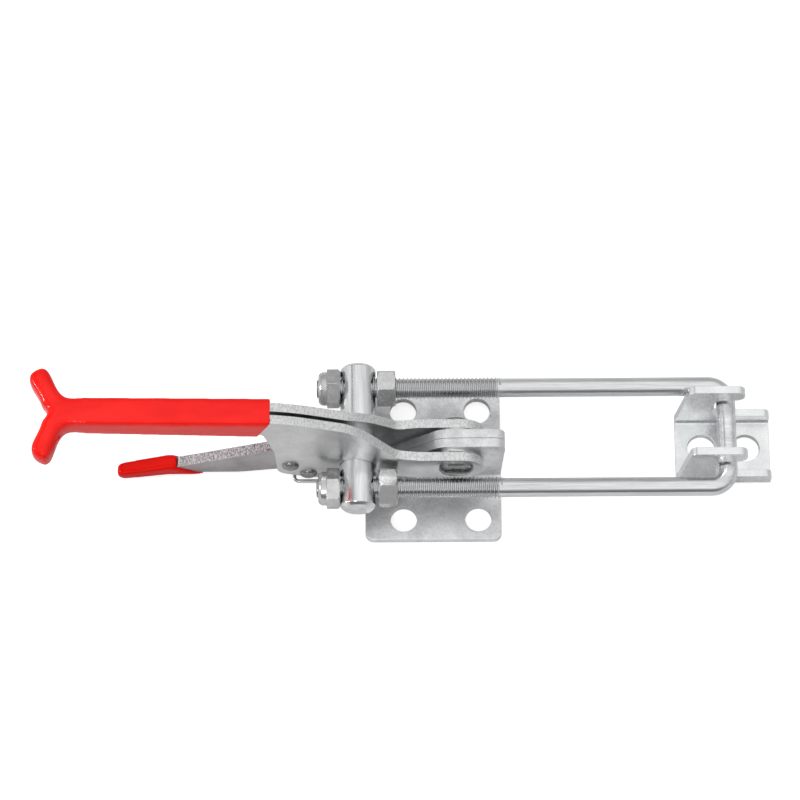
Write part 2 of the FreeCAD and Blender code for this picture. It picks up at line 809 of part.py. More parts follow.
def make_u_bolt():
    """Round bar bent twice, with a threaded stretch on each leg."""
    pieces = []
    bend_x = d.crossbar_x - d.rod_bend
    thread_length = d.thread_end_left + d.thread_start_right
    for side, y in (("near", near_rod), ("far", far_rod)):
        start = (-d.thread_end_left, y, d.rod_height)
        thread = doc.addObject("PartDesign::Body", side + "_thread")
        nothing = size_of(0)
        lead = d.thread_lead_in
        half = outline(sketch_on(thread, side + "_thread_half", "XY_Plane"), [
            (nothing, nothing), (thread_length, nothing), (thread_length, d.thread_radius - lead),
            (thread_length - lead, d.thread_radius), (lead, d.thread_radius),
            (nothing, d.thread_radius - lead)])
        revolution(thread, side + "_thread_turned", half, "H_Axis")
        place(thread, start)
        shank = cylinder(side + "_shank", d.rod_radius, bend_x - d.thread_start_right + lead,
                         (d.thread_start_right - lead, y, d.rod_height), "X")
        pieces += [thread, shank]
        bend = doc.addObject("Part::Torus", side + "_bend")
        bind(bend, Radius1=d.rod_bend, Radius2=d.rod_radius)
        bend.Angle3 = 90
        inward = d.rod_bend if side == "near" else -d.rod_bend
        place(bend, (bend_x, y + inward, d.rod_height),
              Rotation(Vector(0, 0, 1), -90 if side == "near" else 0))
        pieces.append(bend)
    pieces.append(cylinder("crossbar", d.rod_radius, d.rod_spacing - d.rod_bend * 2,
                           (d.crossbar_x, near_rod + d.rod_bend, d.rod_height), "Y"))
    bolt = doc.addObject("Part::MultiFuse", "u_bolt")
    bolt.Shapes = pieces
    node("u_bolt", bolt)


def hex_form(name, profile, height, at, turn):
    """A turned profile cut to six flats, at a place and an angle about the rod."""
    body = doc.addObject("PartDesign::Body", name + "_turned")
    half = outline(sketch_on(body, name + "_half", "XY_Plane"), profile)
    revolution(body, name + "_revolved", half, "H_Axis")
    place(body, at)
    prism = doc.addObject("Part::Prism", name + "_flats")
    prism.Polygon = 6
    bind(prism, Circumradius=nut_corner, Height=height)
    # A corner of the prism points to minus Z before it is turned about the rod.
    place(prism, at, Rotation(Vector(1, 0, 0), turn.value + 90).multiply(ALONG["X"]))
    nut = doc.addObject("Part::Common", name)
    nut.Base = body
    nut.Tool = prism
    return nut


def make_hex_nuts():
    """Plain nuts on the keeper side of the barrel."""
    start = d.barrel_radius - d.barrel_left
    flat = d.nut_across_flats / 2
    slope = d.nut_chamfer * (nut_corner - flat).value
    profile = [
        (size_of(0), nut_bore), (d.nut_height, nut_bore), (d.nut_height, flat),
        (d.nut_height - slope, nut_corner), (slope, nut_corner), (size_of(0), flat)]
    for name, y, gap, turn in (
            ("hex_nut_near", near_rod, d.near_nut_gap, d.near_nut_turn),
            ("hex_nut_far", far_rod, d.far_nut_gap, d.far_nut_turn)):
        at = (start + gap, y, d.rod_height)
        node(name, hex_form(name, profile, d.nut_height, at, turn))


def make_lock_nuts():
    """Lock nuts behind the barrel, each with a soft ring held in its collar."""
    flat = d.nut_across_flats / 2
    slope = d.nut_chamfer * (nut_corner - flat).value
    step = d.lock_height - d.lock_hex_height
    seat = d.insert_lip + d.insert_height
    collar = d.lock_collar_radius
    ring_bore = d.thread_radius + d.running_gap
    profile = [
        (size_of(0), nut_bore + d.insert_lip),
        (d.insert_lip, nut_bore + d.insert_lip),
        (d.insert_lip, d.insert_radius),
        (seat, d.insert_radius),
        (seat, nut_bore),
        (d.lock_height, nut_bore),
        (d.lock_height, flat),
        (d.lock_height - slope, nut_corner),
        (step, nut_corner),
        (step, collar),
        (d.lock_collar_edge, collar),
        (size_of(0), collar - d.lock_collar_edge / 2)]
    start = -d.barrel_left - d.barrel_radius - d.lock_nut_gap - d.lock_height
    for side, y, turn in (("near", near_rod, d.near_lock_turn), ("far", far_rod, d.far_lock_turn)):
        name = "lock_nut_" + side
        nut = hex_form(name, profile, d.lock_height, (start, y, d.rod_height), turn)
        node(name, nut)
        at = (start + d.insert_lip, y, d.rod_height)
        disc = cylinder(side + "_insert_disc", d.insert_radius, d.insert_height, at, "X")
        hole = cylinder(side + "_insert_hole", ring_bore, d.insert_height, at, "X")
        node("lock_insert_" + side, cut("lock_insert_" + side, disc, [hole]))


def make_keeper():
    """Folded channel whose two sides rise into hooks for the U-bolt's crossbar."""
    body = doc.addObject("PartDesign::Body", "keeper")
    right = d.keeper_left + d.keeper_length
    top = d.keeper_arm_bottom + d.keeper_arm_height
    nothing = size_of(0)
    side = outline(sketch_on(body, "keeper_side", "XZ_Plane"), [
        (d.keeper_left, nothing),
        (right, nothing),
        (right, d.keeper_rim_height),
        (d.keeper_slot_x, d.keeper_rim_height),
        (d.keeper_slot_x, d.keeper_arm_bottom),
        (d.keeper_slot_x + d.keeper_arm_reach, d.keeper_arm_bottom),
        (d.keeper_slot_x + d.keeper_arm_reach, top),
        (d.keeper_left + d.keeper_lean, top),
        (d.keeper_left, d.keeper_sheet),
    ])
    pad(body, "keeper_block", side, d.keeper_width, True)
    round_corners(body, "keeper_round", side, {
        2: d.keeper_rim_corner, 3: d.keeper_slot_corner, 4: d.keeper_slot_corner,
        5: d.keeper_arm_round, 6: d.keeper_arm_round, 7: d.keeper_ear_corner})
    inside = d.keeper_width / 2 - d.keeper_sheet
    channel = outline(sketch_on(body, "channel_outline", "YZ_Plane"), [
        (-inside, d.keeper_sheet), (inside, d.keeper_sheet),
        (inside, top * 2), (-inside, top * 2)])
    before = body.Shape.Volume
    hollow = body.newObject("PartDesign::Pocket", "channel_cut")
    hollow.Profile = channel
    hollow.Midplane = True
    bind(hollow, Length=THROUGH * 2)
    doc.recompute()
    if body.Shape.Volume > before * 0.8:
        raise ValueError("the keeper's channel isn't cut")
    half = (d.keeper_width / 2).value
    wall = inside.value
    floor = d.keeper_sheet.value
    round_edges(body, "keeper_fold_outside", d.keeper_fold_outside,
                lambda edge: along_x_at(edge, half, 0) or along_x_at(edge, -half, 0))
    round_edges(body, "keeper_fold_inside", d.keeper_fold_inside,
                lambda edge: along_x_at(edge, wall, floor) or along_x_at(edge, -wall, floor))
    first = d.keeper_left + d.keeper_hole_inset
    holes = circles(sketch_on(body, "keeper_holes", "XY_Plane"), [
        (first, nothing), (first + d.keeper_hole_spacing, nothing)], d.keeper_hole_radius)
    hole_cut = body.newObject("PartDesign::Pocket", "keeper_hole_cut")
    hole_cut.Profile = holes
    hole_cut.Midplane = True
    bind(hole_cut, Length=d.keeper_sheet * 4)
    place(body, (nothing, d.keeper_play, nothing))
    node("keeper", body)


make_base()
make_handle_plates()
make_handle_grip()
make_rivet("pivot_rivet", d.pivot_x, d.pivot_height, d.pivot_radius,
           plate_outer, d.rivet_head_radius, d.rivet_head_height)
make_washers()
lever_plate_outer = d.plate_lever_gap / 2 + d.plate
make_rivet("lever_rivet", lever_x, d.lever_pivot_height, d.small_rivet_radius,
           lever_plate_outer, d.small_head_radius, d.small_head_height)
make_rivet("stop_rivet", stop_x, stop_height, d.small_rivet_radius,
           lever_plate_outer, d.small_head_radius, d.small_head_height)
make_release_lever()
make_lever_tip()
make_lever_spring()
make_barrel()
make_u_bolt()
make_hex_nuts()
make_lock_nuts()
make_keeper()
doc.recompute()

for thing in doc.Objects:
    if "Invalid" in thing.State or "Error" in thing.State:
        raise ValueError("%s failed: %s" % (thing.Label, thing.State))
for name, thing in nodes.items():
    if thing.Shape.isNull() or not thing.Shape.isValid():
        raise ValueError(name + " has no valid shape")
    if len(thing.Shape.Solids) != 1:
        raise ValueError("%s has %d solids" % (name, len(thing.Shape.Solids)))

os.makedirs("parts", exist_ok=True)
for name, thing in nodes.items():
    thing.Shape.exportStep("parts/%s.step" % name)
    box = thing.Shape.BoundBox
    print("%-20s x %8.2f %8.2f  y %7.2f %7.2f  z %6.2f %6.2f  volume %9.1f" % (
        name, box.XMin, box.XMax, box.YMin, box.YMax, box.ZMin, box.ZMax, thing.Shape.Volume))
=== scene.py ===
import json
import logging
import math
from collections.abc import Callable, Iterable
from dataclasses import dataclass
from enum import Enum

import bpy
from bpy.types import Material, Node, NodeSocket, NodeTree, Object
from mathutils import Matrix, Vector

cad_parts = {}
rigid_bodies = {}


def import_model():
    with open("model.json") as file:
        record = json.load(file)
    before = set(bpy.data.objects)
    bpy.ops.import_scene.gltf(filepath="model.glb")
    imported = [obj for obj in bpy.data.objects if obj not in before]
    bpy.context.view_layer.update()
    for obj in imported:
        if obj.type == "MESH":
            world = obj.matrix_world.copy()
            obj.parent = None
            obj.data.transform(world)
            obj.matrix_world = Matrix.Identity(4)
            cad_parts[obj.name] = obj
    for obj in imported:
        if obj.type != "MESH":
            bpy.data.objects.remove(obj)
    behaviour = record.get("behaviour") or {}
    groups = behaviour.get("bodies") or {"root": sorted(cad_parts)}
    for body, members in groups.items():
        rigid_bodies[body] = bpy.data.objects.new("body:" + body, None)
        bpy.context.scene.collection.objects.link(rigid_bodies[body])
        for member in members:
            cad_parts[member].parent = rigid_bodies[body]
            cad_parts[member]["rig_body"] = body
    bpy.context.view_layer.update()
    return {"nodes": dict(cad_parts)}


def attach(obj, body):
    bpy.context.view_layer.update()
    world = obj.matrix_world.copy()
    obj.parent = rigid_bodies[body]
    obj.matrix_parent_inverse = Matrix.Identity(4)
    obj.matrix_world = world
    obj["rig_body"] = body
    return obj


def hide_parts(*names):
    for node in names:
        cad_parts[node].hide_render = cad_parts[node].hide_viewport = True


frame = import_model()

MM = 0.001
SMOOTHING = 0.5
MODELLING_SLACK = 1e-5
LOG = logging.getLogger("latch")


class Slot(Enum):
    """Material slots of the record."""

    ZINC_SHEET = "zinc_sheet"
    ZINC_TURNED = "zinc_turned"
    RIVET = "rivet_steel"
    SPRING = "spring_steel"
    VINYL = "red_vinyl"
    NYLON = "nylon"


class Grain(Enum):
    """Direction in which a metal's fine lines run."""

    NONE = (1.0, 1.0, 1.0)
    ALONG_X = (0.05, 1.0, 1.0)
    ALONG_Y = (1.0, 0.05, 1.0)


@dataclass(frozen=True)
class RodPlace:
    """Where the U-bolt's two legs run, in millimetres."""

    middle_y: float = 4.6
    half_spacing: float = 19.55
    height: float = 19.5

    def leg_y(self, side: int) -> float:
        """Work out a leg's place across the latch.

        Args:
            side: -1 for the near leg and 1 for the far one.

        Returns:
            Its y.
        """
        return self.middle_y + side * self.half_spacing


RODS = RodPlace()


class Graph:
    """A node tree with short calls for adding and joining nodes."""

    def __init__(self, tree: NodeTree) -> None:
        """Keep the tree.

        Args:
            tree: The tree that nodes are added to.
        """
        self.tree = tree

    def add(self, kind: str, inputs: dict | None = None, **settings: object) -> Node:
        """Add a node.

        Args:
            kind: The node's type, such as ShaderNodeMath.
            inputs: Socket name or number to a value or an output socket.
            settings: Properties of the node itself.

        Returns:
            The new node.
        """
        made = self.tree.nodes.new(kind)
        for name, value in settings.items():
            setattr(made, name, value)
        for name, value in (inputs or {}).items():
            if isinstance(value, NodeSocket):
                self.tree.links.new(value, made.inputs[name])
            else:
                made.inputs[name].default_value = value
        return made

    def math(self, operation: str, first: object, second: object = 0.0) -> NodeSocket:
        """Add a math node.

        Args:
            operation: What it does.
            first: Its first value or socket.
            second: Its second value or socket.

        Returns:
            Its output.
        """
        made = self.add("ShaderNodeMath", {0: first, 1: second}, operation=operation)
        return made.outputs[0]

    def ramp(self, factor: NodeSocket, stops: Iterable[tuple[float, float]]) -> NodeSocket:
        """Map a value through grey stops.

        Args:
            factor: The value that is mapped.
            stops: Pairs of position and grey level.

        Returns:
            The ramp's colour output.
        """
        made = self.add("ShaderNodeValToRGB", {"Fac": factor})
        elements = made.color_ramp.elements
        for number, (position, level) in enumerate(stops):
            element = elements[number] if number < 2 else elements.new(position)
            element.position = position
            element.color = (level, level, level, 1.0)
        return made.outputs["Color"]

    def scaled(self, vector: NodeSocket, scale: tuple[float, float, float]) -> NodeSocket:
        """Stretch a coordinate.

        Args:
            vector: The coordinate.
            scale: The factor along each axis.

        Returns:
            The stretched coordinate.
        """
        made = self.add("ShaderNodeMapping", {"Vector": vector, "Scale": scale})
        return made.outputs["Vector"]

    def blend(self, factor: NodeSocket, first: object, second: object) -> NodeSocket:
        """Mix two colours.

        Args:
            factor: How much of the second colour shows.
            first: A grey or colour triple, or a socket.
            second: The same for the other colour.

        Returns:
            The mixed colour.
        """
        ends = [end if isinstance(end, NodeSocket) else (*end, 1.0) for end in (first, second)]
        made = self.add("ShaderNodeMix", {"Factor": factor, 6: ends[0], 7: ends[1]},
                        data_type="RGBA")
        return made.outputs[2]


def new_group(name: str, inputs: dict[str, str], outputs: dict[str, str]) -> NodeTree:
    """Start a shader node group with named sockets.

    Args:
        name: The group's name.
        inputs: Input name to socket type.
        outputs: Output name to socket type.

    Returns:
        The empty group.
    """
    group = bpy.data.node_groups.new(name, "ShaderNodeTree")
    for label, kind in inputs.items():
        group.interface.new_socket(label, in_out="INPUT", socket_type=kind)
    for label, kind in outputs.items():
        group.interface.new_socket(label, in_out="OUTPUT", socket_type=kind)
    return group


CLOUD_SHARE = 0.55
FACE_TURN = 0.75
EDGE_TURN = 0.35


def build_plating_group() -> NodeTree:
    """Cloudy zinc plating with fine grain: a tone for colour and a height for bump.

    Returns:
        The group.
    """
    group = new_group("zinc_plating", {
        "Vector": "NodeSocketVector", "Cloud": "NodeSocketFloat", "Fine": "NodeSocketFloat",
    }, {"Tone": "NodeSocketFloat", "Height": "NodeSocketFloat"})
    graph = Graph(group)
    given = graph.add("NodeGroupInput").outputs
    cloud = graph.add("ShaderNodeTexNoise", {
        "Vector": given["Vector"], "Scale": given["Cloud"], "Detail": 3.0, "Roughness": 0.55})
    fine = graph.add("ShaderNodeTexNoise", {
        "Vector": given["Vector"], "Scale": given["Fine"], "Detail": 5.0, "Roughness": 0.7})
    tone = graph.math("ADD", graph.math("MULTIPLY", cloud.outputs["Fac"], CLOUD_SHARE),
                      graph.math("MULTIPLY", fine.outputs["Fac"], 1.0 - CLOUD_SHARE))
    graph.add("NodeGroupOutput", {"Tone": tone, "Height": fine.outputs["Fac"]})
    return group


def build_shear_group() -> NodeTree:
    """Mask of a pressed sheet's sheared edges, which face away from the sheet's own axis.

    Returns:
        The group.
    """
    group = new_group("sheared_edge", {
        "Sheet Axis": "NodeSocketVector"}, {"Edge": "NodeSocketFloat"})
    graph = Graph(group)
    given = graph.add("NodeGroupInput").outputs
    normal = graph.add("ShaderNodeTexCoord").outputs["Normal"]
    facing = graph.add("ShaderNodeVectorMath", {0: normal, 1: given["Sheet Axis"]},
                       operation="DOT_PRODUCT")
    turned = graph.math("ABSOLUTE", facing.outputs["Value"])
    edge = graph.add("ShaderNodeMapRange", {
        "Value": turned, "From Min": EDGE_TURN, "From Max": FACE_TURN,
        "To Min": 1.0, "To Max": 0.0})
    graph.add("NodeGroupOutput", {"Edge": edge.outputs["Result"]})
    return group


PLATING_GROUP = build_plating_group()
SHEAR_GROUP = build_shear_group()


def start_material(name: str, **sockets: object) -> tuple[Material, Graph, Node]:
    """Make a material with one Principled shader.

    Args:
        name: The material's name.
        sockets: Plain values of the shader's sockets, with _ for a space.

    Returns:
        The material, its graph and its shader.
    """
    material = bpy.data.materials.new(name)
    material.use_nodes = True
    shader = material.node_tree.nodes["Principled BSDF"]
    for label, value in sockets.items():
        shader.inputs[label.replace("_", " ")].default_value = value
    return material, Graph(material.node_tree), shader


@dataclass(frozen=True)
class MetalFinish:
    """A plated or polished steel surface."""

    name: str
    dark: tuple[float, float, float]
    light: tuple[float, float, float]
    roughness: tuple[float, float]
    grain: Grain = Grain.NONE
    cloud: float = 90.0
    fine: float = 1400.0
    relief: float = 0.08
    edge_level: float = 0.0
    edge_light: float = 1.0
    torn_scale: float = 1700.0
    torn_relief: float = 1.0
    sheet_axis: tuple[float, float, float] = (0.0, 1.0, 0.0)
    thread: "ThreadMask | None" = None
    tone_stops: tuple[tuple[float, float], ...] = ((0.36, 0.0), (0.62, 1.0))
    rough_reach: tuple[float, float] = (0.35, 0.65)
    torn_stops: tuple[tuple[float, float], ...] = ((0.36, 0.0), (0.6, 1.0))
    torn_stretch: tuple[float, float, float] = (1.0, 0.55, 1.0)
    torn_roughness: float = 0.42
    bump_height: float = 0.2

    def build(self) -> Material:
        """Build the material.

        Returns:
            The finished material.
        """
        material, graph, shader = start_material(self.name, Metallic=1.0)
        place = graph.add("ShaderNodeTexCoord").outputs["Object"]
        stretched = graph.scaled(place, self.grain.value)
        plating = graph.add("ShaderNodeGroup", {
            "Vector": stretched, "Cloud": self.cloud, "Fine": self.fine},
            node_tree=PLATING_GROUP)
        tone = graph.ramp(plating.outputs["Tone"], self.tone_stops)
        colour = graph.blend(tone, self.dark, self.light)
        smooth, matt = self.roughness
        rough = graph.add("ShaderNodeMapRange", {
            "Value": plating.outputs["Tone"], "From Min": self.rough_reach[0],
            "From Max": self.rough_reach[1], "To Min": matt, "To Max": smooth}).outputs["Result"]
        height = plating.outputs["Height"]
        if self.edge_level > 0:
            colour, rough, height = self.tear_edges(graph, place, colour, rough, height)
        # Painted shade: the thread's roots are blended toward a dimmed copy of the dark colour.
        if self.thread:
            crest = self.thread.build(graph, place)
            groove = tuple(level * self.thread.painted_groove_shade for level in self.dark)
            colour = graph.blend(crest, groove, colour)
        bump = graph.add("ShaderNodeBump", {
            "Strength": self.relief, "Distance": self.bump_height * MM, "Height": height})
        graph.tree.links.new(colour, shader.inputs["Base Color"])
        graph.tree.links.new(rough, shader.inputs["Roughness"])
        graph.tree.links.new(bump.outputs["Normal"], shader.inputs["Normal"])
        return material

    def tear_edges(self, graph: Graph, place: NodeSocket, colour: NodeSocket, rough: NodeSocket,
                   height: NodeSocket) -> tuple[NodeSocket, NodeSocket, NodeSocket]:
        """Give the sheet's sheared edges their own speckled and rougher surface.

        Args:
            graph: The material's graph.
            place: Object coordinates.
            colour: The faces' colour.
            rough: The faces' roughness.
            height: The faces' bump height.

        Returns:
            Colour, roughness and height with the edges in them.
        """
        shear = graph.add("ShaderNodeGroup", {"Sheet Axis": self.sheet_axis},
                          node_tree=SHEAR_GROUP).outputs["Edge"]
        torn = graph.add("ShaderNodeTexNoise", {
            "Vector": graph.scaled(place, self.torn_stretch), "Scale": self.torn_scale,
            "Detail": 3.0, "Roughness": 0.6}).outputs["Fac"]
        dark = tuple(level * self.edge_level for level in self.dark)
        light = tuple(min(1.0, level * self.edge_light) for level in self.light)
        speck = graph.blend(graph.ramp(torn, self.torn_stops), dark, light)
        edge_rough = graph.add("ShaderNodeMix", {
            "Factor": shear, 2: rough, 3: self.torn_roughness}, data_type="FLOAT").outputs[0]
        edge_height = graph.math("MULTIPLY", torn, self.torn_relief)
        edge_height = graph.math("ADD", height, graph.math("MULTIPLY", shear, edge_height))
        return graph.blend(shear, colour, speck), edge_rough, edge_height


@dataclass(frozen=True)
class ThreadMask:
    """Where the rods' thread grooves lie, for a finish that paints shade into their roots."""

    end_x: float = 21.2
    root_radius: float = 3.2
    crest_radius: float = 3.6
    # Painted shade: the share of the dark colour left at the thread roots.
    painted_groove_shade: float = 0.28

    def build(self, graph: Graph, place: NodeSocket) -> NodeSocket:
        """Work out the groove's depth from the distance to the leg's axis.

        Args:
            graph: The material's graph.
            place: Object coordinates.

        Returns:
            1 on the crests and the plain bar, 0 at the roots.
        """
        parts = graph.add("ShaderNodeSeparateXYZ", {"Vector": place}).outputs
        across = graph.math("ABSOLUTE", graph.math("SUBTRACT", parts["Y"], RODS.middle_y * MM))
        across = graph.math("SUBTRACT", across, RODS.half_spacing * MM)
        above = graph.math("SUBTRACT", parts["Z"], RODS.height * MM)
        flat = graph.add("ShaderNodeCombineXYZ", {"X": across, "Y": above})
        radius = graph.add("ShaderNodeVectorMath", {0: flat.outputs[0]}, operation="LENGTH")
        depth = graph.add("ShaderNodeMapRange", {
            "Value": radius.outputs["Value"], "From Min": self.root_radius * MM,
            "From Max": self.crest_radius * MM}).outputs["Result"]
        plain = graph.math("GREATER_THAN", parts["X"], self.end_x * MM)
        return graph.math("MAXIMUM", depth, plain)


@dataclass(frozen=True)
class VinylFinish:
    """Dipped soft vinyl with a slightly uneven gloss."""

    name: str
    deep: tuple[float, float, float]
    bright: tuple[float, float, float]
    gloss: float = 0.24
    roughness: tuple[float, float] = (0.13, 0.19)
    wave_stretch: tuple[float, float, float] = (0.35, 1.0, 1.0)
    wave_stops: tuple[tuple[float, float], ...] = ((0.35, 0.0), (0.7, 1.0))
    skin_share: float = 0.02
    bump_height: float = 0.6
    relief: float = 0.22

    def build(self) -> Material:
        """Build the material.

        Returns:
            The finished material.
        """
        material, graph, shader = start_material(
            self.name, Specular_IOR_Level=self.gloss)
        place = graph.add("ShaderNodeTexCoord").outputs["Object"]
        waves = graph.add("ShaderNodeTexNoise", {
            "Vector": graph.scaled(place, self.wave_stretch), "Scale": 160.0, "Detail": 2.0})
        skin = graph.add("ShaderNodeTexNoise", {
            "Vector": place, "Scale": 1500.0, "Detail": 3.0})
        colour = graph.blend(
            graph.ramp(waves.outputs["Fac"], self.wave_stops), self.deep, self.bright)
        rough = graph.add("ShaderNodeMapRange", {
            "Value": skin.outputs["Fac"], "From Min": 0.3, "From Max": 0.7,
            "To Min": self.roughness[0], "To Max": self.roughness[1]})
        height = graph.math("ADD", waves.outputs["Fac"],
                            graph.math("MULTIPLY", skin.outputs["Fac"], self.skin_share))
        bump = graph.add("ShaderNodeBump", {
            "Strength": self.relief, "Distance": self.bump_height * MM, "Height": height})
        graph.tree.links.new(colour, shader.inputs["Base Color"])
        graph.tree.links.new(rough.outputs["Result"], shader.inputs["Roughness"])
        graph.tree.links.new(bump.outputs["Normal"], shader.inputs["Normal"])
        return material


@dataclass(frozen=True)
class NylonFinish:
    """Matt pale nylon of the lock rings."""

    name: str = "nylon_ring"
    dark: tuple[float, float, float] = (0.72, 0.72, 0.68)
    light: tuple[float, float, float] = (0.86, 0.86, 0.83)
    roughness: tuple[float, float] = (0.45, 0.6)

    def build(self) -> Material:
        """Build the material.

        Returns:
            The finished material.
        """
        material, graph, shader = start_material(self.name)
        place = graph.add("ShaderNodeTexCoord").outputs["Object"]
        cloud = graph.add("ShaderNodeTexNoise", {"Vector": place, "Scale": 600.0})
        colour = graph.blend(cloud.outputs["Fac"], self.dark, self.light)
        rough = graph.add("ShaderNodeMapRange", {
            "Value": cloud.outputs["Fac"], "To Min": self.roughness[0],
            "To Max": self.roughness[1]})
        graph.tree.links.new(colour, shader.inputs["Base Color"])
        graph.tree.links.new(rough.outputs["Result"], shader.inputs["Roughness"])
        return material


def only(obj: Object) -> Object:
    """Select one object alone and make it active.

    Args:
        obj: The object.

    Returns:
        The same object.
    """
    bpy.ops.object.select_all(action="DESELECT")
    obj.select_set(True)
    bpy.context.view_layer.objects.active = obj
    return obj


def pick(obj: Object, kind: str, test: Callable[[Vector, Vector], bool]) -> int:
    """Select the faces or points of a mesh in edit mode by their place.

    Args:
        obj: The object, which is in edit mode.
        kind: FACE or VERT.
        test: Says whether an element with this place and normal is selected.

    Returns:
        How many were selected.
    """
    bpy.ops.mesh.select_mode(type=kind)
    bpy.ops.mesh.select_all(action="DESELECT")
    bpy.ops.object.mode_set(mode="OBJECT")
    count = 0
    elements = obj.data.polygons if kind == "FACE" else obj.data.vertices
    for element in elements:
        middle = element.center if kind == "FACE" else element.co
        if test(middle, element.normal):
            element.select = True
            count += 1
    bpy.ops.object.mode_set(mode="EDIT")
    return count


def slide(x: float, y: float, z: float) -> None:
    """Move what is selected in edit mode.

    Args:
        x: Millimetres along x.
        y: Millimetres along y.
        z: Millimetres along z.
    """
    bpy.ops.transform.translate(value=(x * MM, y * MM, z * MM))


def draw_out(x: float, y: float, z: float) -> None:
    """Extrude what is selected in edit mode.

    Args:
        x: Millimetres along x.
        y: Millimetres along y.
        z: Millimetres along z.
    """
    bpy.ops.mesh.extrude_region_move(
        TRANSFORM_OT_translate={"value": (x * MM, y * MM, z * MM)})


def soften(rounds: int) -> None:
    """Smooth the selected points of the mesh in edit mode.

    Args:
        rounds: How many times.
    """
    bpy.ops.mesh.vertices_smooth(factor=SMOOTHING, repeat=rounds)


def cut_across(obj_x: float) -> None:
    """Cut the whole mesh in edit mode square to x, and keep both halves.

    Args:
        obj_x: Where, in metres.
    """
    bpy.ops.mesh.select_all(action="SELECT")
    bpy.ops.mesh.bisect(plane_co=(obj_x, 0.0, 0.0), plane_no=(1.0, 0.0, 0.0))


def even_out(obj: Object, grid: float) -> None:
    """Rebuild a mesh of even squares over a closed form, from edit mode or object mode.

    Args:
        obj: The object.
        grid: The squares' size in millimetres.
    """
    bpy.ops.object.mode_set(mode="OBJECT")
    even = obj.modifiers.new("even_grid", "REMESH")
    even.mode = "VOXEL"
    even.voxel_size = grid * MM
    only(obj)
    bpy.ops.object.modifier_apply(modifier=even.name)
    bpy.ops.object.mode_set(mode="EDIT")


FACE_WEIGHT = 90


def settle(obj: Object, smooth_angle: float = 32.0, flat_faces: bool = True) -> None:
    """Apply an object's modifiers, put its place into its mesh and smooth its rounds.

    Args:
        obj: The object.
        smooth_angle: Edges that turn less than this, in degrees, are smooth.
        flat_faces: Keeps large flat faces flat beside their smooth rounds.
    """
    only(obj)
    for modifier in list(obj.modifiers):
        bpy.ops.object.modifier_apply(modifier=modifier.name)
    bpy.ops.object.transform_apply(location=True, rotation=True, scale=True)
    bpy.ops.object.shade_smooth_by_angle(angle=math.radians(smooth_angle))
    if flat_faces:
        weights = obj.modifiers.new("face_weights", "WEIGHTED_NORMAL")
        weights.keep_sharp = True
        weights.weight = FACE_WEIGHT
        bpy.ops.object.modifier_apply(modifier=weights.name)


def dress(obj: Object, material: Material, body: str,
          stands_for: Iterable[str] = ()) -> Object:
    """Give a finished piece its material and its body.

    Args:
        obj: The piece.
        material: Its material.
        body: The body that it moves with.
        stands_for: Nodes that it replaces.

    Returns:
        The piece.
    """
    obj.data.materials.clear()
    obj.data.materials.append(material)
    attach(obj, body)
    for node in stands_for:
        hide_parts(node)
    LOG.info("%s: %d faces, rides on %s", obj.name, len(obj.data.polygons), body)
    return obj


@dataclass
class NodeSkin:
    """A piece with its node's own form, merged and with its sharp edges broken."""

    node: str
    material: Material
    slot: Slot
    bevel: float = 0.2
    segments: int = 2
    merge_distance: float = 0.002
    flat_angle: float = 0.4
    edge_angle: float = 40.0

    def build(self) -> Object:
        """Copy the node's mesh, clean it and soften its edges.

        Returns:
            The finished piece.
        """
        source = frame["nodes"][self.node]
        body = source["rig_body"]
        mesh = source.data.copy()
        piece = bpy.data.objects.new(self.node + "_skin", mesh)
        bpy.context.scene.collection.objects.link(piece)
        only(piece)
        bpy.ops.mesh.customdata_custom_splitnormals_clear()
        bpy.ops.object.mode_set(mode="EDIT")
        bpy.ops.mesh.select_all(action="SELECT")
        bpy.ops.mesh.remove_doubles(threshold=self.merge_distance * MM)
        bpy.ops.mesh.dissolve_limited(angle_limit=math.radians(self.flat_angle))
        self.shape(piece)
        bpy.ops.object.mode_set(mode="OBJECT")
        if self.bevel > 0:
            edge = piece.modifiers.new("broken_edges", "BEVEL")
            edge.width = self.bevel * MM
            edge.segments = self.segments
            edge.limit_method = "ANGLE"
            edge.angle_limit = math.radians(self.edge_angle)
            edge.use_clamp_overlap = False
        settle(piece)
        return dress(piece, self.material, body, [self.node])

    def shape(self, piece: Object) -> None:
        """Change the mesh in edit mode before its edges are broken.

        Args:
            piece: The piece, in edit mode.
        """


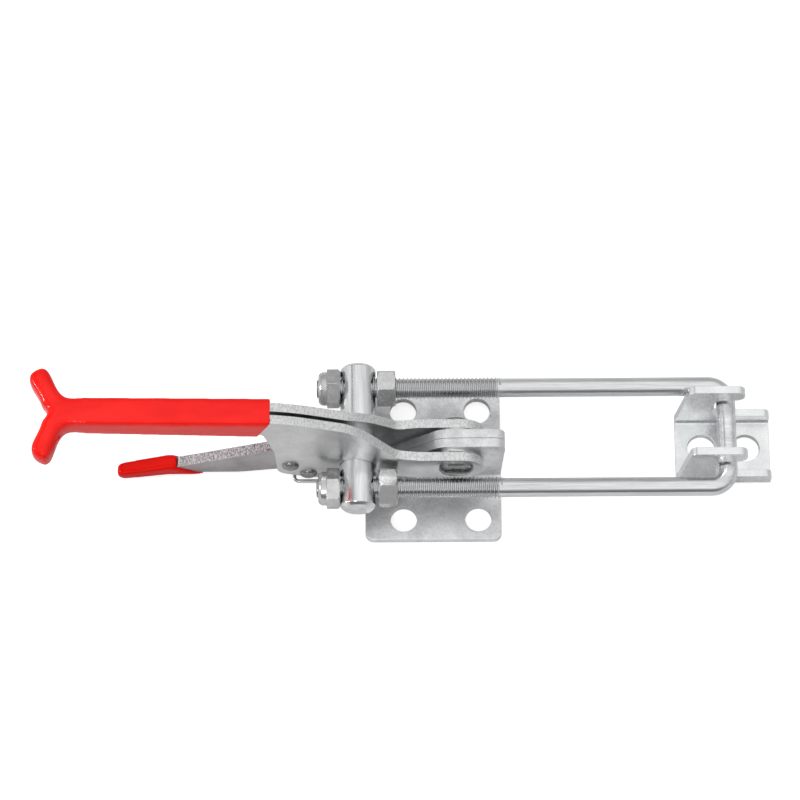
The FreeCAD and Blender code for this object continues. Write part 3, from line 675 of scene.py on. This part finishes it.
@dataclass
class TaperedSkin(NodeSkin):
    """A node's form whose rear end narrows and droops, as the lever's tip does."""

    skin_y: float = 2.3
    skin_thinning: float = 0.85
    top_x: float = -97.5
    top_z: float = 8.6
    top_drop: float = -0.6
    start_x: float = -101.0
    cuts: int = 13
    spacing: float = 1.35
    narrowing: float = 0.99
    lowering: float = 0.99
    middle_z: float = 5.2
    forward: float = 0.06
    aside: float = -0.15
    droop: float = -0.05
    grid: float = 0.0
    rounds: int = 8
    end_rounds: int = 26
    end_length: float = 6.0

    def shape(self, piece: Object) -> None:
        """Thin the dipped skin, then shrink the end a little more behind each of many cuts.

        Args:
            piece: The piece, in edit mode.
        """
        pick(piece, "VERT", lambda place, _: abs(place.y) > self.skin_y * MM)
        bpy.ops.transform.resize(
            value=(1.0, self.skin_thinning, 1.0), center_override=(0.0, 0.0, 0.0))
        pick(piece, "VERT", lambda place, _: place.x < self.top_x * MM
             and place.z > self.top_z * MM)
        slide(0.0, 0.0, self.top_drop)
        for number in range(self.cuts):
            cut_across((self.start_x - self.spacing * number) * MM)
        for number in range(self.cuts):
            x = (self.start_x - self.spacing * number) * MM
            pick(piece, "VERT", lambda place, _: place.x < x - MODELLING_SLACK)
            bpy.ops.transform.resize(
                value=(1.0, self.narrowing, self.lowering),
                center_override=(x, self.aside * number * MM, self.middle_z * MM))
            slide(self.forward, self.aside, self.droop)
        if self.grid > 0:
            self.round_off(piece)

    def round_off(self, piece: Object) -> None:
        """Even out the mesh and smooth its edges away, most of all at the end.

        Args:
            piece: The piece, in edit mode.
        """
        even_out(piece, self.grid)
        bpy.ops.mesh.select_all(action="SELECT")
        soften(self.rounds)
        rear = (self.start_x - self.spacing * self.cuts + self.end_length) * MM
        pick(piece, "VERT", lambda place, _: place.x < rear)
        soften(self.end_rounds)


@dataclass
class LockNutSkin(NodeSkin):
    """A lock nut whose collar swells almost to the width of its hexagon."""

    rod_y: float = 0.0
    hex_x: float = -41.75
    inner_radius: float = 5.02
    hex_radius: float = 6.4
    swelling: float = 1.09

    def shape(self, piece: Object) -> None:
        """Widen the collar's outside about the rod.

        Args:
            piece: The piece, in edit mode.
        """
        def on_collar(place: Vector, _: Vector) -> bool:
            """Say whether a point lies on the outside of the collar."""
            radius = math.hypot(place.y - self.rod_y * MM, place.z - RODS.height * MM)
            return place.x < self.hex_x * MM + MODELLING_SLACK and (
                self.inner_radius * MM < radius < self.hex_radius * MM)

        pick(piece, "VERT", on_collar)
        bpy.ops.transform.resize(
            value=(1.0, self.swelling, self.swelling),
            center_override=(self.hex_x * MM, self.rod_y * MM, RODS.height * MM))


@dataclass
class HandleGrip:
    """Dipped grip: a bar over both plates that forks into two blunt horns."""

    material: Material
    overlong: float = 6.0
    front_top_x: float = -61.2
    front_lean: float = 5.8
    fork_x: float = -134.3
    crotch_x: float = -141.9
    crotch_half_width: float = 0.9
    half_width: float = 5.3
    front_top: float = 59.55
    front_bottom: float = 45.1
    rear_top: float = 62.3
    rear_bottom: float = 50.9
    far_horn_angle: float = 62.0
    near_horn_angle: float = 69.0
    horn_steps: tuple[float, ...] = (4.6, 5.4, 3.3, 1.9)
    horn_scales: tuple[float, ...] = (0.81, 1.13, 1.03, 0.66)
    horn_heights: tuple[float, ...] = (1.0, 1.0, 0.98, 0.8)
    grid: float = 0.5
    bar_rounds: int = 32
    horn_rounds: int = 20
    crotch_reach: float = 1.6
    crotch_depth: float = 1.3
    crotch_patch: tuple[float, float] = (2.4, 0.8)
    lip_radius: float = 0.35
    bar_cuts: tuple[float, ...] = (0.06, 0.3, 0.6, 0.94)
    round_reaches: tuple[float, ...] = (7.0, 4.5, 2.0)
    last_rounds: int = 5
    root_side: float = 0.75
    root_level: float = 0.3
    front_facing: float = 0.8
    front_zone: float = -75.0

    def build(self) -> Object:
        """Model the grip from a cube.

        Returns:
            The finished grip.
        """
        front = self.front_top_x + self.overlong
        length = front - self.fork_x
        height = self.rear_top - self.rear_bottom
        bpy.ops.object.select_all(action="DESELECT")
        bpy.ops.mesh.primitive_cube_add(size=1.0, location=(
            (front - length / 2) * MM, 0.0, (self.rear_bottom + height / 2) * MM))
        grip = bpy.context.object
        grip.name = "handle_grip_skin"
        grip.scale = (length * MM, 2 * self.half_width * MM, height * MM)
        bpy.ops.object.transform_apply(location=True, rotation=True, scale=True)
        bpy.ops.object.mode_set(mode="EDIT")
        self.slope_front(grip, front)
        self.grow_fork(grip)
        even_out(grip, self.grid)
        self.round_off(grip)
        self.cut_front(grip)
        bpy.ops.object.mode_set(mode="OBJECT")
        settle(grip, 50.0, False)
        return dress(grip, self.material, "handle", ["handle_grip"])

    def slope_front(self, grip: Object, front: float) -> None:
        """Drop the front end to its own height and divide the bar along its length.

        Args:
            grip: The grip, in edit mode.
            front: Where its overlong front end lies.
        """
        middle = (self.rear_top + self.rear_bottom) / 2 * MM
        edge = front * MM - MODELLING_SLACK
        pick(grip, "VERT", lambda place, _: place.x > edge and place.z > middle)
        slide(0.0, 0.0, self.front_top - self.rear_top)
        pick(grip, "VERT", lambda place, _: place.x > edge and place.z < middle)
        slide(0.0, 0.0, self.front_bottom - self.rear_bottom)
        for share in self.bar_cuts:
            cut_across((self.fork_x + share * (front - self.fork_x)) * MM)

    def grow_fork(self, grip: Object) -> None:
        """Draw the root back to the crotch, and a horn out of each of its slanted sides.

        Args:
            grip: The grip, in edit mode.
        """
        rear = self.fork_x * MM
        pick(grip, "FACE", lambda place, _: place.x < rear + MODELLING_SLACK)
        draw_out(self.crotch_x - self.fork_x, 0.0, 0.0)
        bpy.ops.transform.resize(value=(1.0, self.crotch_half_width / self.half_width, 1.0))
        for side, degrees in ((1, self.far_horn_angle), (-1, self.near_horn_angle)):
            angle = math.radians(degrees)
            pick(grip, "FACE", lambda place, normal: place.x < rear - 10 * MODELLING_SLACK
                 and abs(place.y) < self.half_width * MM
                 and normal.y * side > self.root_side and abs(normal.z) < self.root_level)
            shapes = zip(self.horn_steps, self.horn_scales, self.horn_heights)
            for step, scale, height in shapes:
                draw_out(-math.cos(angle) * step, side * math.sin(angle) * step, 0.0)
                bpy.ops.transform.resize(value=(scale, scale, height))

    def round_off(self, grip: Object) -> None:
        """Smooth all edges a little and the horns much more, and press the crotch in.

        Args:
            grip: The grip, in edit mode.
        """
        bpy.ops.mesh.select_all(action="SELECT")
        soften(self.bar_rounds)
        for reach in self.round_reaches:
            rear = (self.fork_x + reach) * MM
            pick(grip, "VERT", lambda place, _: place.x < rear)
            soften(self.horn_rounds)
        patch_x, patch_y = self.crotch_patch
        behind = (self.crotch_x + patch_x) * MM
        pick(grip, "VERT", lambda place, _: place.x < behind and abs(place.y) < patch_y * MM)
        bpy.ops.transform.translate(
            value=(self.crotch_depth * MM, 0.0, 0.0), use_proportional_edit=True,
            proportional_edit_falloff="SMOOTH", proportional_size=self.crotch_reach * 2 * MM)
        pick(grip, "VERT", lambda place, _: place.x < self.fork_x * MM)
        soften(self.last_rounds)

    def cut_front(self, grip: Object) -> None:
        """Cut the overlong front end on its slant and break the new edge.

        Args:
            grip: The grip, in edit mode.
        """
        lean = math.atan2(self.front_lean, self.front_top - self.front_bottom)
        bpy.ops.mesh.select_mode(type="FACE")
        bpy.ops.mesh.select_all(action="SELECT")
        bpy.ops.mesh.bisect(
            plane_co=(self.front_top_x * MM, 0.0, self.front_top * MM),
            plane_no=(math.cos(lean), 0.0, -math.sin(lean)),
            use_fill=True, clear_outer=True)
        pick(grip, "FACE", lambda place, normal: normal.x > self.front_facing
             and place.x > self.front_zone * MM)
        bpy.ops.mesh.bevel(offset=self.lip_radius * MM, segments=2, affect="EDGES")


@dataclass
class UBolt:
    """Round bar bent to a U, with rolled threads on both legs."""

    material: Material
    rod_radius: float = 3.5
    bend_radius: float = 6.3
    crossbar_x: float = 105.0
    thread_end: float = -45.5
    thread_start: float = 22.4
    thread_radius: float = 3.97
    pitch: float = 1.411
    thread_depth: float = 0.84
    thread_inset: float = 0.5
    thread_margin: float = 1.4
    core_depth: float = 0.55
    core_overlap: float = 2.2
    end_chamfer: float = 0.5
    merge_distance: float = 0.001
    round_steps: int = 40
    bend_steps: int = 14
    helix_steps: int = 36

    def build(self) -> Object:
        """Model the bent bar and both threads, and join them.

        Returns:
            The finished U-bolt.
        """
        bar = self.bent_bar()
        parts = [bar]
        for side in (-1, 1):
            y = RODS.leg_y(side)
            parts.append(self.thread(y))
            parts.append(self.thread_core(y))
        bpy.ops.object.select_all(action="DESELECT")
        for part in parts:
            part.select_set(True)
        bpy.context.view_layer.objects.active = bar
        bpy.ops.object.join()
        bar.name = "u_bolt_rods"
        settle(bar, 40.0)
        return dress(bar, self.material, "u_bolt", ["u_bolt"])

    def bent_bar(self) -> Object:
        """Draw a circle out along the near leg, round both bends and back.

        Returns:
            The bar, without its threads.
        """
        near = RODS.leg_y(-1)
        start = self.thread_start - self.core_overlap
        bend_x = self.crossbar_x - self.bend_radius
        bpy.ops.object.select_all(action="DESELECT")
        bpy.ops.mesh.primitive_circle_add(
            vertices=self.round_steps, radius=self.rod_radius * MM,
            location=(start * MM, near * MM, RODS.height * MM),
            rotation=(0.0, math.pi / 2, 0.0), fill_type="NGON")
        bar = bpy.context.object
        bpy.ops.object.transform_apply(location=True, rotation=True, scale=True)
        bpy.ops.object.mode_set(mode="EDIT")
        bpy.ops.mesh.select_all(action="SELECT")
        draw_out(bend_x - start, 0.0, 0.0)
        self.bend(bend_x, near + self.bend_radius)
        straight = 2 * (RODS.half_spacing - self.bend_radius)
        draw_out(0.0, straight, 0.0)
        self.bend(bend_x, near + self.bend_radius + straight)
        draw_out(start - bend_x, 0.0, 0.0)
        bpy.ops.mesh.select_all(action="SELECT")
        bpy.ops.mesh.remove_doubles(threshold=self.merge_distance * MM)
        bpy.ops.mesh.normals_make_consistent(inside=False)
        bpy.ops.object.mode_set(mode="OBJECT")
        return bar

    def bend(self, x: float, y: float) -> None:
        """Spin the selected end a quarter turn about a bend's centre.

        Args:
            x: The centre's place along the latch.
            y: The centre's place across it.
        """
        bpy.ops.mesh.spin(
            steps=self.bend_steps, angle=math.pi / 2, center=(x * MM, y * MM, RODS.height * MM),
            axis=(0.0, 0.0, -1.0))

    def thread(self, y: float) -> Object:
        """Turn one flank pair of the thread into a helix along the leg.

        Args:
            y: The leg's place across the latch.

        Returns:
            The thread's surface.
        """
        root = self.thread_radius - self.thread_depth
        crest = self.thread_radius
        steps = [(0.0, root), (0.08, root), (0.44, crest), (0.56, crest), (0.92, root), (1.0, root)]
        points = [(share * self.pitch * MM, 0.0, radius * MM) for share, radius in steps]
        mesh = bpy.data.meshes.new("thread_profile")
        mesh.from_pydata(points, [(n, n + 1) for n in range(len(points) - 1)], [])
        thread = bpy.data.objects.new("thread", mesh)
        bpy.context.scene.collection.objects.link(thread)
        turns = int((self.thread_start - self.thread_end - self.thread_margin) / self.pitch)
        only(thread)
        screw = thread.modifiers.new("helix", "SCREW")
        screw.axis = "X"
        screw.screw_offset = self.pitch * MM
        screw.iterations = turns
        screw.steps = screw.render_steps = self.helix_steps
        screw.use_merge_vertices = True
        screw.merge_threshold = self.merge_distance * MM
        bpy.ops.object.modifier_apply(modifier=screw.name)
        thread.location = (
            (self.thread_end + self.thread_inset) * MM, y * MM, RODS.height * MM)
        bpy.ops.object.transform_apply(location=True, rotation=True, scale=True)
        bpy.ops.object.mode_set(mode="EDIT")
        bpy.ops.mesh.select_all(action="SELECT")
        bpy.ops.mesh.normals_make_consistent(inside=False)
        bpy.ops.object.mode_set(mode="OBJECT")
        return thread

    def thread_core(self, y: float) -> Object:
        """Solid bar under the thread, with a chamfered end.

        Args:
            y: The leg's place across the latch.

        Returns:
            The core.
        """
        length = self.thread_start - self.thread_end
        bpy.ops.object.select_all(action="DESELECT")
        bpy.ops.mesh.primitive_cylinder_add(
            vertices=self.round_steps, radius=(self.thread_radius - self.core_depth) * MM,
            depth=length * MM, rotation=(0.0, math.pi / 2, 0.0),
            location=((self.thread_end + length / 2) * MM, y * MM, RODS.height * MM))
        core = bpy.context.object
        edge = core.modifiers.new("end_chamfer", "BEVEL")
        edge.width = self.end_chamfer * MM
        edge.segments = 2
        only(core)
        bpy.ops.object.modifier_apply(modifier=edge.name)
        bpy.ops.object.transform_apply(location=True, rotation=True, scale=True)
        return core


@dataclass(frozen=True)
class Studio:
    """Pale floor, soft light and the camera at the photograph's angle."""

    azimuth: float = 0.05
    elevation: float = 68.647
    roll: float = 0.411
    distance: float = 1323.651
    aim_right: float = -14.837
    aim_up: float = 25.343
    lens: float = 160.31
    sensor_width: float = 36.0
    sky_levels: tuple[tuple[float, float], ...] = ((0.0, 0.3), (1.0, 0.62))
    end_colour: tuple[float, float, float] = (0.9, 0.9, 0.9)
    floor_size: float = 6.0
    floor_drop: float = 0.05
    floor_level: float = 0.62
    floor_glow: float = 0.66
    studio_levels: tuple[tuple[float, float], ...] = (
        (0.0, 0.16), (1.0, 0.5), (0.15, 0.2), (0.26, 0.95), (0.5, 1.0), (0.68, 1.0), (0.8, 0.55))
    side_levels: tuple[tuple[float, float], ...] = (
        (0.0, 0.8), (1.0, 0.6), (0.13, 1.0), (0.185, 0.95), (0.21, 0.2), (0.25, 0.2),
        (0.29, 1.0), (0.62, 1.0), (0.85, 0.9))

    def build(self) -> None:
        """Build the floor, the lamps, the world and the camera."""
        self.build_floor()
        self.build_world()
        self.add_lamp("top_softbox", (-0.3, 0.1, 1.3), 1.4, 12.0, False)
        self.add_lamp("front_lamp", (-0.35, -0.75, 0.8), 0.12, 2.0, True)
        self.add_lamp("left_lamp", (-1.0, -0.02, 0.38), 0.12, 2.2, True)
        self.build_camera()

    def build_floor(self) -> None:
        """Lay a pale matt floor just under the latch, white to the camera but for shadows."""
        bpy.ops.object.select_all(action="DESELECT")
        bpy.ops.mesh.primitive_plane_add(
            size=self.floor_size, location=(0.0, 0.0, -self.floor_drop * MM))
        floor = bpy.context.object
        floor.name = "floor"
        material, graph, shader = start_material(
            "floor_white", Roughness=1.0, Specular_IOR_Level=0.0, Emission_Strength=1.0)
        level = self.floor_level
        shader.inputs["Base Color"].default_value = (level, level, level, 1.0)
        path = graph.add("ShaderNodeLightPath")
        seen = graph.math("MAXIMUM", path.outputs["Is Camera Ray"],
                          path.outputs["Is Transmission Ray"])
        glow = graph.math("MULTIPLY", seen, self.floor_glow)
        graph.tree.links.new(glow, shader.inputs["Emission Color"])
        floor.data.materials.append(material)

    def build_world(self) -> None:
        """Light all round: plain for matt surfaces, a white studio with one dim side for gloss."""
        world = bpy.data.worlds.new("studio")
        bpy.context.scene.world = world
        world.use_nodes = True
        graph = Graph(world.node_tree)
        background = world.node_tree.nodes["Background"]
        direction = graph.add("ShaderNodeTexCoord").outputs["Generated"]
        parts = graph.add("ShaderNodeSeparateXYZ", {"Vector": direction}).outputs
        angle = graph.math("ARCTAN2", parts["Z"], graph.math("MULTIPLY", parts["Y"], -1.0))
        share = graph.math("DIVIDE", angle, math.pi)
        round_x = graph.ramp(share, self.studio_levels)
        sideways = graph.math("POWER", graph.math("ABSOLUTE", parts["X"]), 3.0)
        around = graph.blend(sideways, round_x, self.end_colour)
        across = graph.math("ADD", graph.math("MULTIPLY", parts["X"], 0.5), 0.5)
        level = graph.add("ShaderNodeMix", {
            "Factor": 1.0, 6: around, 7: graph.ramp(across, self.side_levels)},
            data_type="RGBA", blend_type="MULTIPLY")
        sky = graph.ramp(graph.math("ABSOLUTE", parts["Z"]), self.sky_levels)
        path = graph.add("ShaderNodeLightPath").outputs
        glossy = graph.math("MAXIMUM", path["Is Glossy Ray"], path["Is Transmission Ray"])
        shown = graph.blend(glossy, sky, level.outputs[2])
        seen = graph.blend(path["Is Camera Ray"], shown, (1.0, 1.0, 1.0))
        world.node_tree.links.new(seen, background.inputs["Color"])

    def add_lamp(self, name: str, place: tuple[float, float, float], size: float,
                 power: float, mirrored: bool) -> None:
        """Hang a square lamp that points at the latch.

        Args:
            name: The lamp's name.
            place: Where it hangs, in metres.
            size: Its side.
            power: Its power in watts.
            mirrored: Whether glossy surfaces show it.
        """
        lamp = bpy.data.lights.new(name, "AREA")
        lamp.size = size
        lamp.energy = power
        holder = bpy.data.objects.new(name, lamp)
        holder.location = place
        holder.rotation_euler = (-Vector(place)).to_track_quat("-Z", "Y").to_euler()
        holder.visible_glossy = mirrored
        bpy.context.scene.collection.objects.link(holder)

    def build_camera(self) -> None:
        """Put the camera where the fit to the photograph puts it."""
        a, e, r = (math.radians(v) for v in (self.azimuth, self.elevation, self.roll))
        back = Vector((math.sin(a) * math.cos(e), -math.cos(a) * math.cos(e), math.sin(e)))
        right = Vector((math.cos(a), math.sin(a), 0.0))
        up = back.cross(right)
        place = (back * self.distance + right * self.aim_right + up * self.aim_up) * MM
        across = right * math.cos(r) - up * math.sin(r)
        upward = right * math.sin(r) + up * math.cos(r)
        camera = bpy.data.objects.new("camera", bpy.data.cameras.new("camera"))
        camera.data.lens = self.lens
        camera.data.sensor_width = self.sensor_width
        turn = Matrix((across, upward, back)).transposed().to_4x4()
        camera.matrix_world = Matrix.Translation(place) @ turn
        bpy.context.scene.collection.objects.link(camera)
        bpy.context.scene.camera = camera


class Latch:
    """The whole latch: finishes first, then one piece after another."""

    sides = {"near": -1, "far": 1}

    def __init__(self) -> None:
        """Build the finishes."""
        self.plates = MetalFinish(
            "handle_plate_zinc", dark=(0.61, 0.61, 0.62), light=(0.79, 0.80, 0.80),
            roughness=(0.28, 0.38), edge_level=0.96, edge_light=1.04).build()
        self.lever = MetalFinish(
            "lever_zinc", dark=(0.38, 0.37, 0.385), light=(0.56, 0.55, 0.565),
            roughness=(0.3, 0.42), edge_level=0.45, edge_light=1.25, torn_scale=2100.0,
            torn_relief=3.0, relief=0.2).build()
        self.base = MetalFinish(
            "base_zinc", dark=(0.66, 0.67, 0.68), light=(0.97, 0.97, 0.98),
            roughness=(0.32, 0.46), cloud=140.0, fine=1300.0, relief=0.8).build()
        self.keeper = MetalFinish(
            "keeper_zinc", dark=(0.76, 0.78, 0.79), light=(0.93, 0.94, 0.94),
            roughness=(0.22, 0.32), cloud=120.0).build()
        self.rod = MetalFinish(
            "rod_zinc", dark=(0.58, 0.59, 0.60), light=(0.86, 0.87, 0.88),
            roughness=(0.16, 0.26), grain=Grain.ALONG_X, cloud=260.0,
            thread=ThreadMask()).build()
        self.barrel = MetalFinish(
            "barrel_zinc", dark=(0.62, 0.62, 0.63), light=(0.88, 0.89, 0.90),
            roughness=(0.12, 0.2), grain=Grain.ALONG_Y, cloud=300.0, relief=0.3).build()
        self.nut = MetalFinish(
            "nut_zinc", dark=(0.50, 0.50, 0.50), light=(0.72, 0.72, 0.72),
            roughness=(0.22, 0.34), cloud=200.0).build()
        self.rivet = MetalFinish(
            "rivet_steel", dark=(0.20, 0.20, 0.20), light=(0.40, 0.40, 0.40),
            roughness=(0.2, 0.34), cloud=250.0, relief=0.15).build()
        self.wire = MetalFinish(
            "spring_wire", dark=(0.42, 0.42, 0.43), light=(0.6, 0.6, 0.61),
            roughness=(0.25, 0.35)).build()
        self.vinyl = VinylFinish("red_vinyl", (0.74, 0.004, 0.002), (0.84, 0.009, 0.005)).build()
        # Painted shade: a darker copy of the red vinyl for the lever's tip, which lies in shadow;
        # it also has less gloss.
        self.tip_vinyl_painted_shade = VinylFinish(
            "tip_vinyl_painted_shade", (0.62, 0.003, 0.001), (0.70, 0.006, 0.003), gloss=0.08).build()
        self.nylon = NylonFinish().build()

    def build(self) -> None:
        """Build and dress every piece."""
        for side, sign in self.sides.items():
            NodeSkin("base_" + side, self.base, Slot.ZINC_SHEET, 0.3).build()
            NodeSkin("handle_plate_" + side, self.plates, Slot.ZINC_SHEET, 0.3).build()
            NodeSkin("pivot_washer_" + side, self.nut, Slot.ZINC_TURNED, 0.12).build()
            NodeSkin("hex_nut_" + side, self.nut, Slot.ZINC_TURNED, 0.18).build()
            LockNutSkin("lock_nut_" + side, self.nut, Slot.ZINC_TURNED, 0.18,
                        rod_y=RODS.leg_y(sign)).build()
            NodeSkin("lock_insert_" + side, self.nylon, Slot.NYLON, 0.1).build()
        NodeSkin("keeper", self.keeper, Slot.ZINC_SHEET, 0.3).build()
        NodeSkin("barrel", self.barrel, Slot.ZINC_TURNED, 0.2).build()
        TaperedSkin("release_lever", self.lever, Slot.ZINC_SHEET, 0.2).build()
        # The tip wears the darker vinyl, whose colour carries painted shade.
        TaperedSkin("lever_grip", self.tip_vinyl_painted_shade, Slot.VINYL, 0.0, grid=0.3).build()
        NodeSkin("lever_spring", self.wire, Slot.SPRING, 0.1).build()
        for name in ("pivot_rivet", "lever_rivet", "stop_rivet"):
            NodeSkin(name, self.rivet, Slot.RIVET, 0.0).build()
        UBolt(self.rod).build()
        HandleGrip(self.vinyl).build()


def main() -> None:
    """Dress the latch and set up the studio."""
    logging.basicConfig(level=logging.INFO, format="%(name)s: %(message)s")
    bpy.context.scene.view_settings.view_transform = "Standard"
    Latch().build()
    Studio().build()


if __name__ == "__main__":
    main()
